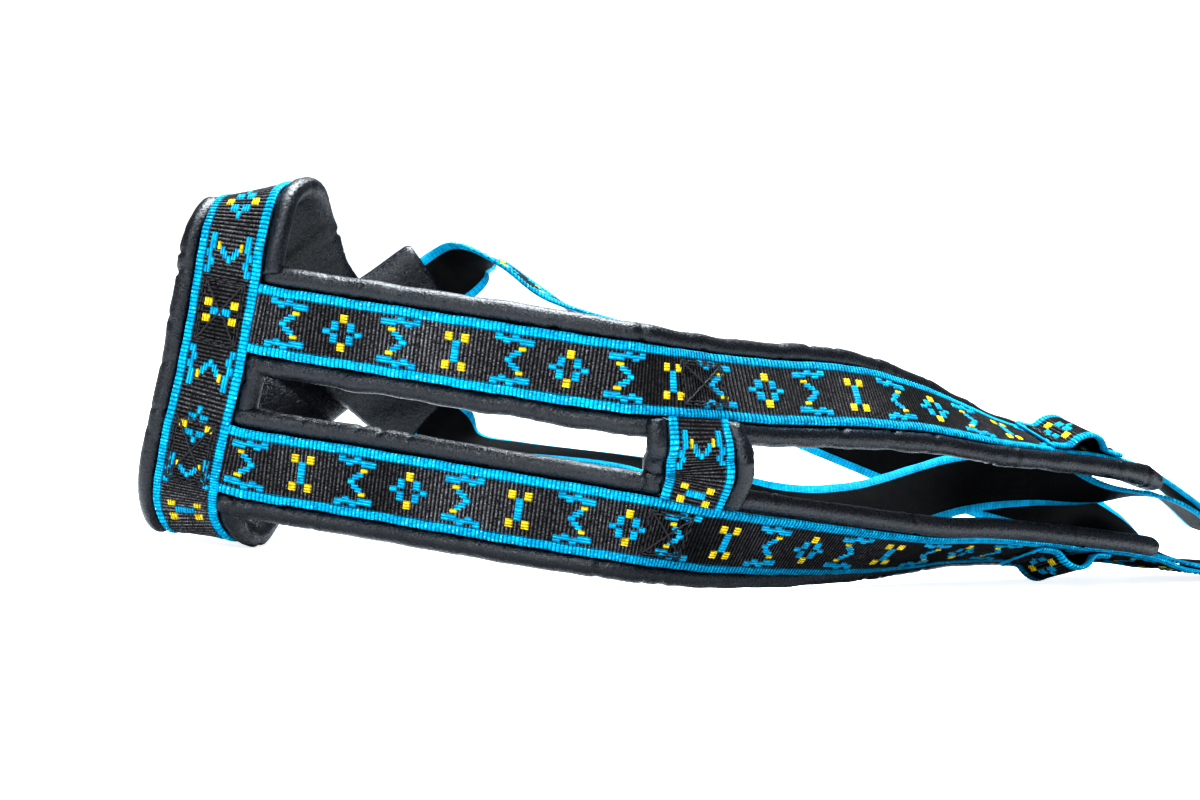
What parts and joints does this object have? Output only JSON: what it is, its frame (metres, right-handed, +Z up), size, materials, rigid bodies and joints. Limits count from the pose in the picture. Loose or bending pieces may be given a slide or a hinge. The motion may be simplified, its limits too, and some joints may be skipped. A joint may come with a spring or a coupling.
{
  "type": "padded dog pulling harness",
  "caption": "Padded pulling harness for a dog, lying on its side: padded collar, chest straps and cross strap in patterned webbing, crossed back straps, side loops and a steel tug ring.",
  "frame": {"origin": "middle of the harness's box at the level of the surface that it lies on", "axes": "+X from the collar to the tug ring, -Y the chest side, +Y the back, +Z up, which is the dog's left side"},
  "size_m": [0.5504, 0.1791, 0.1373],
  "materials": {
    "patterned_webbing": "black ribbed webbing with a blue and yellow woven pattern and blue selvedges",
    "loop_webbing": "plain webbing with blue selvedges",
    "leatherette": "soft black leatherette, slightly wrinkled, satin",
    "foam": "soft closed-cell foam strip",
    "thread": "black bonded sewing thread",
    "steel": "welded and polished steel ring"
  },
  "bodies": {
    "harness": {"collar_sleeve": "leatherette", "collar_foam": "foam", "collar_webbing": "patterned_webbing", "left_strap_sleeve": "leatherette", "left_strap_foam": "foam", "left_strap_webbing": "patterned_webbing", "right_strap_sleeve": "leatherette", "right_strap_foam": "foam", "right_strap_webbing": "patterned_webbing", "cross_strap_sleeve": "leatherette", "cross_strap_foam": "foam", "cross_strap_webbing": "patterned_webbing", "back_strap_left": "patterned_webbing", "back_strap_right": "patterned_webbing", "left_side_loop": "loop_webbing", "right_side_loop": "loop_webbing", "tug_loop": "loop_webbing", "collar_left_stitching": "thread", "collar_right_stitching": "thread", "cross_left_stitching": "thread", "cross_right_stitching": "thread", "withers_stitching": "thread", "back_strap_stitching": "thread", "side_loop_stitching": "thread", "tail_stitching": "thread"},
    "ring": {"tug_ring": "steel"}
  },
  "joints": [
    {"name": "tug_ring_swing", "type": "hinge", "parent": "harness", "child": "ring", "pos_m": [0.23954, 0.00975, 0.00574], "axis": [0, -1, 0], "range_deg": [0, 150]}
  ]
}
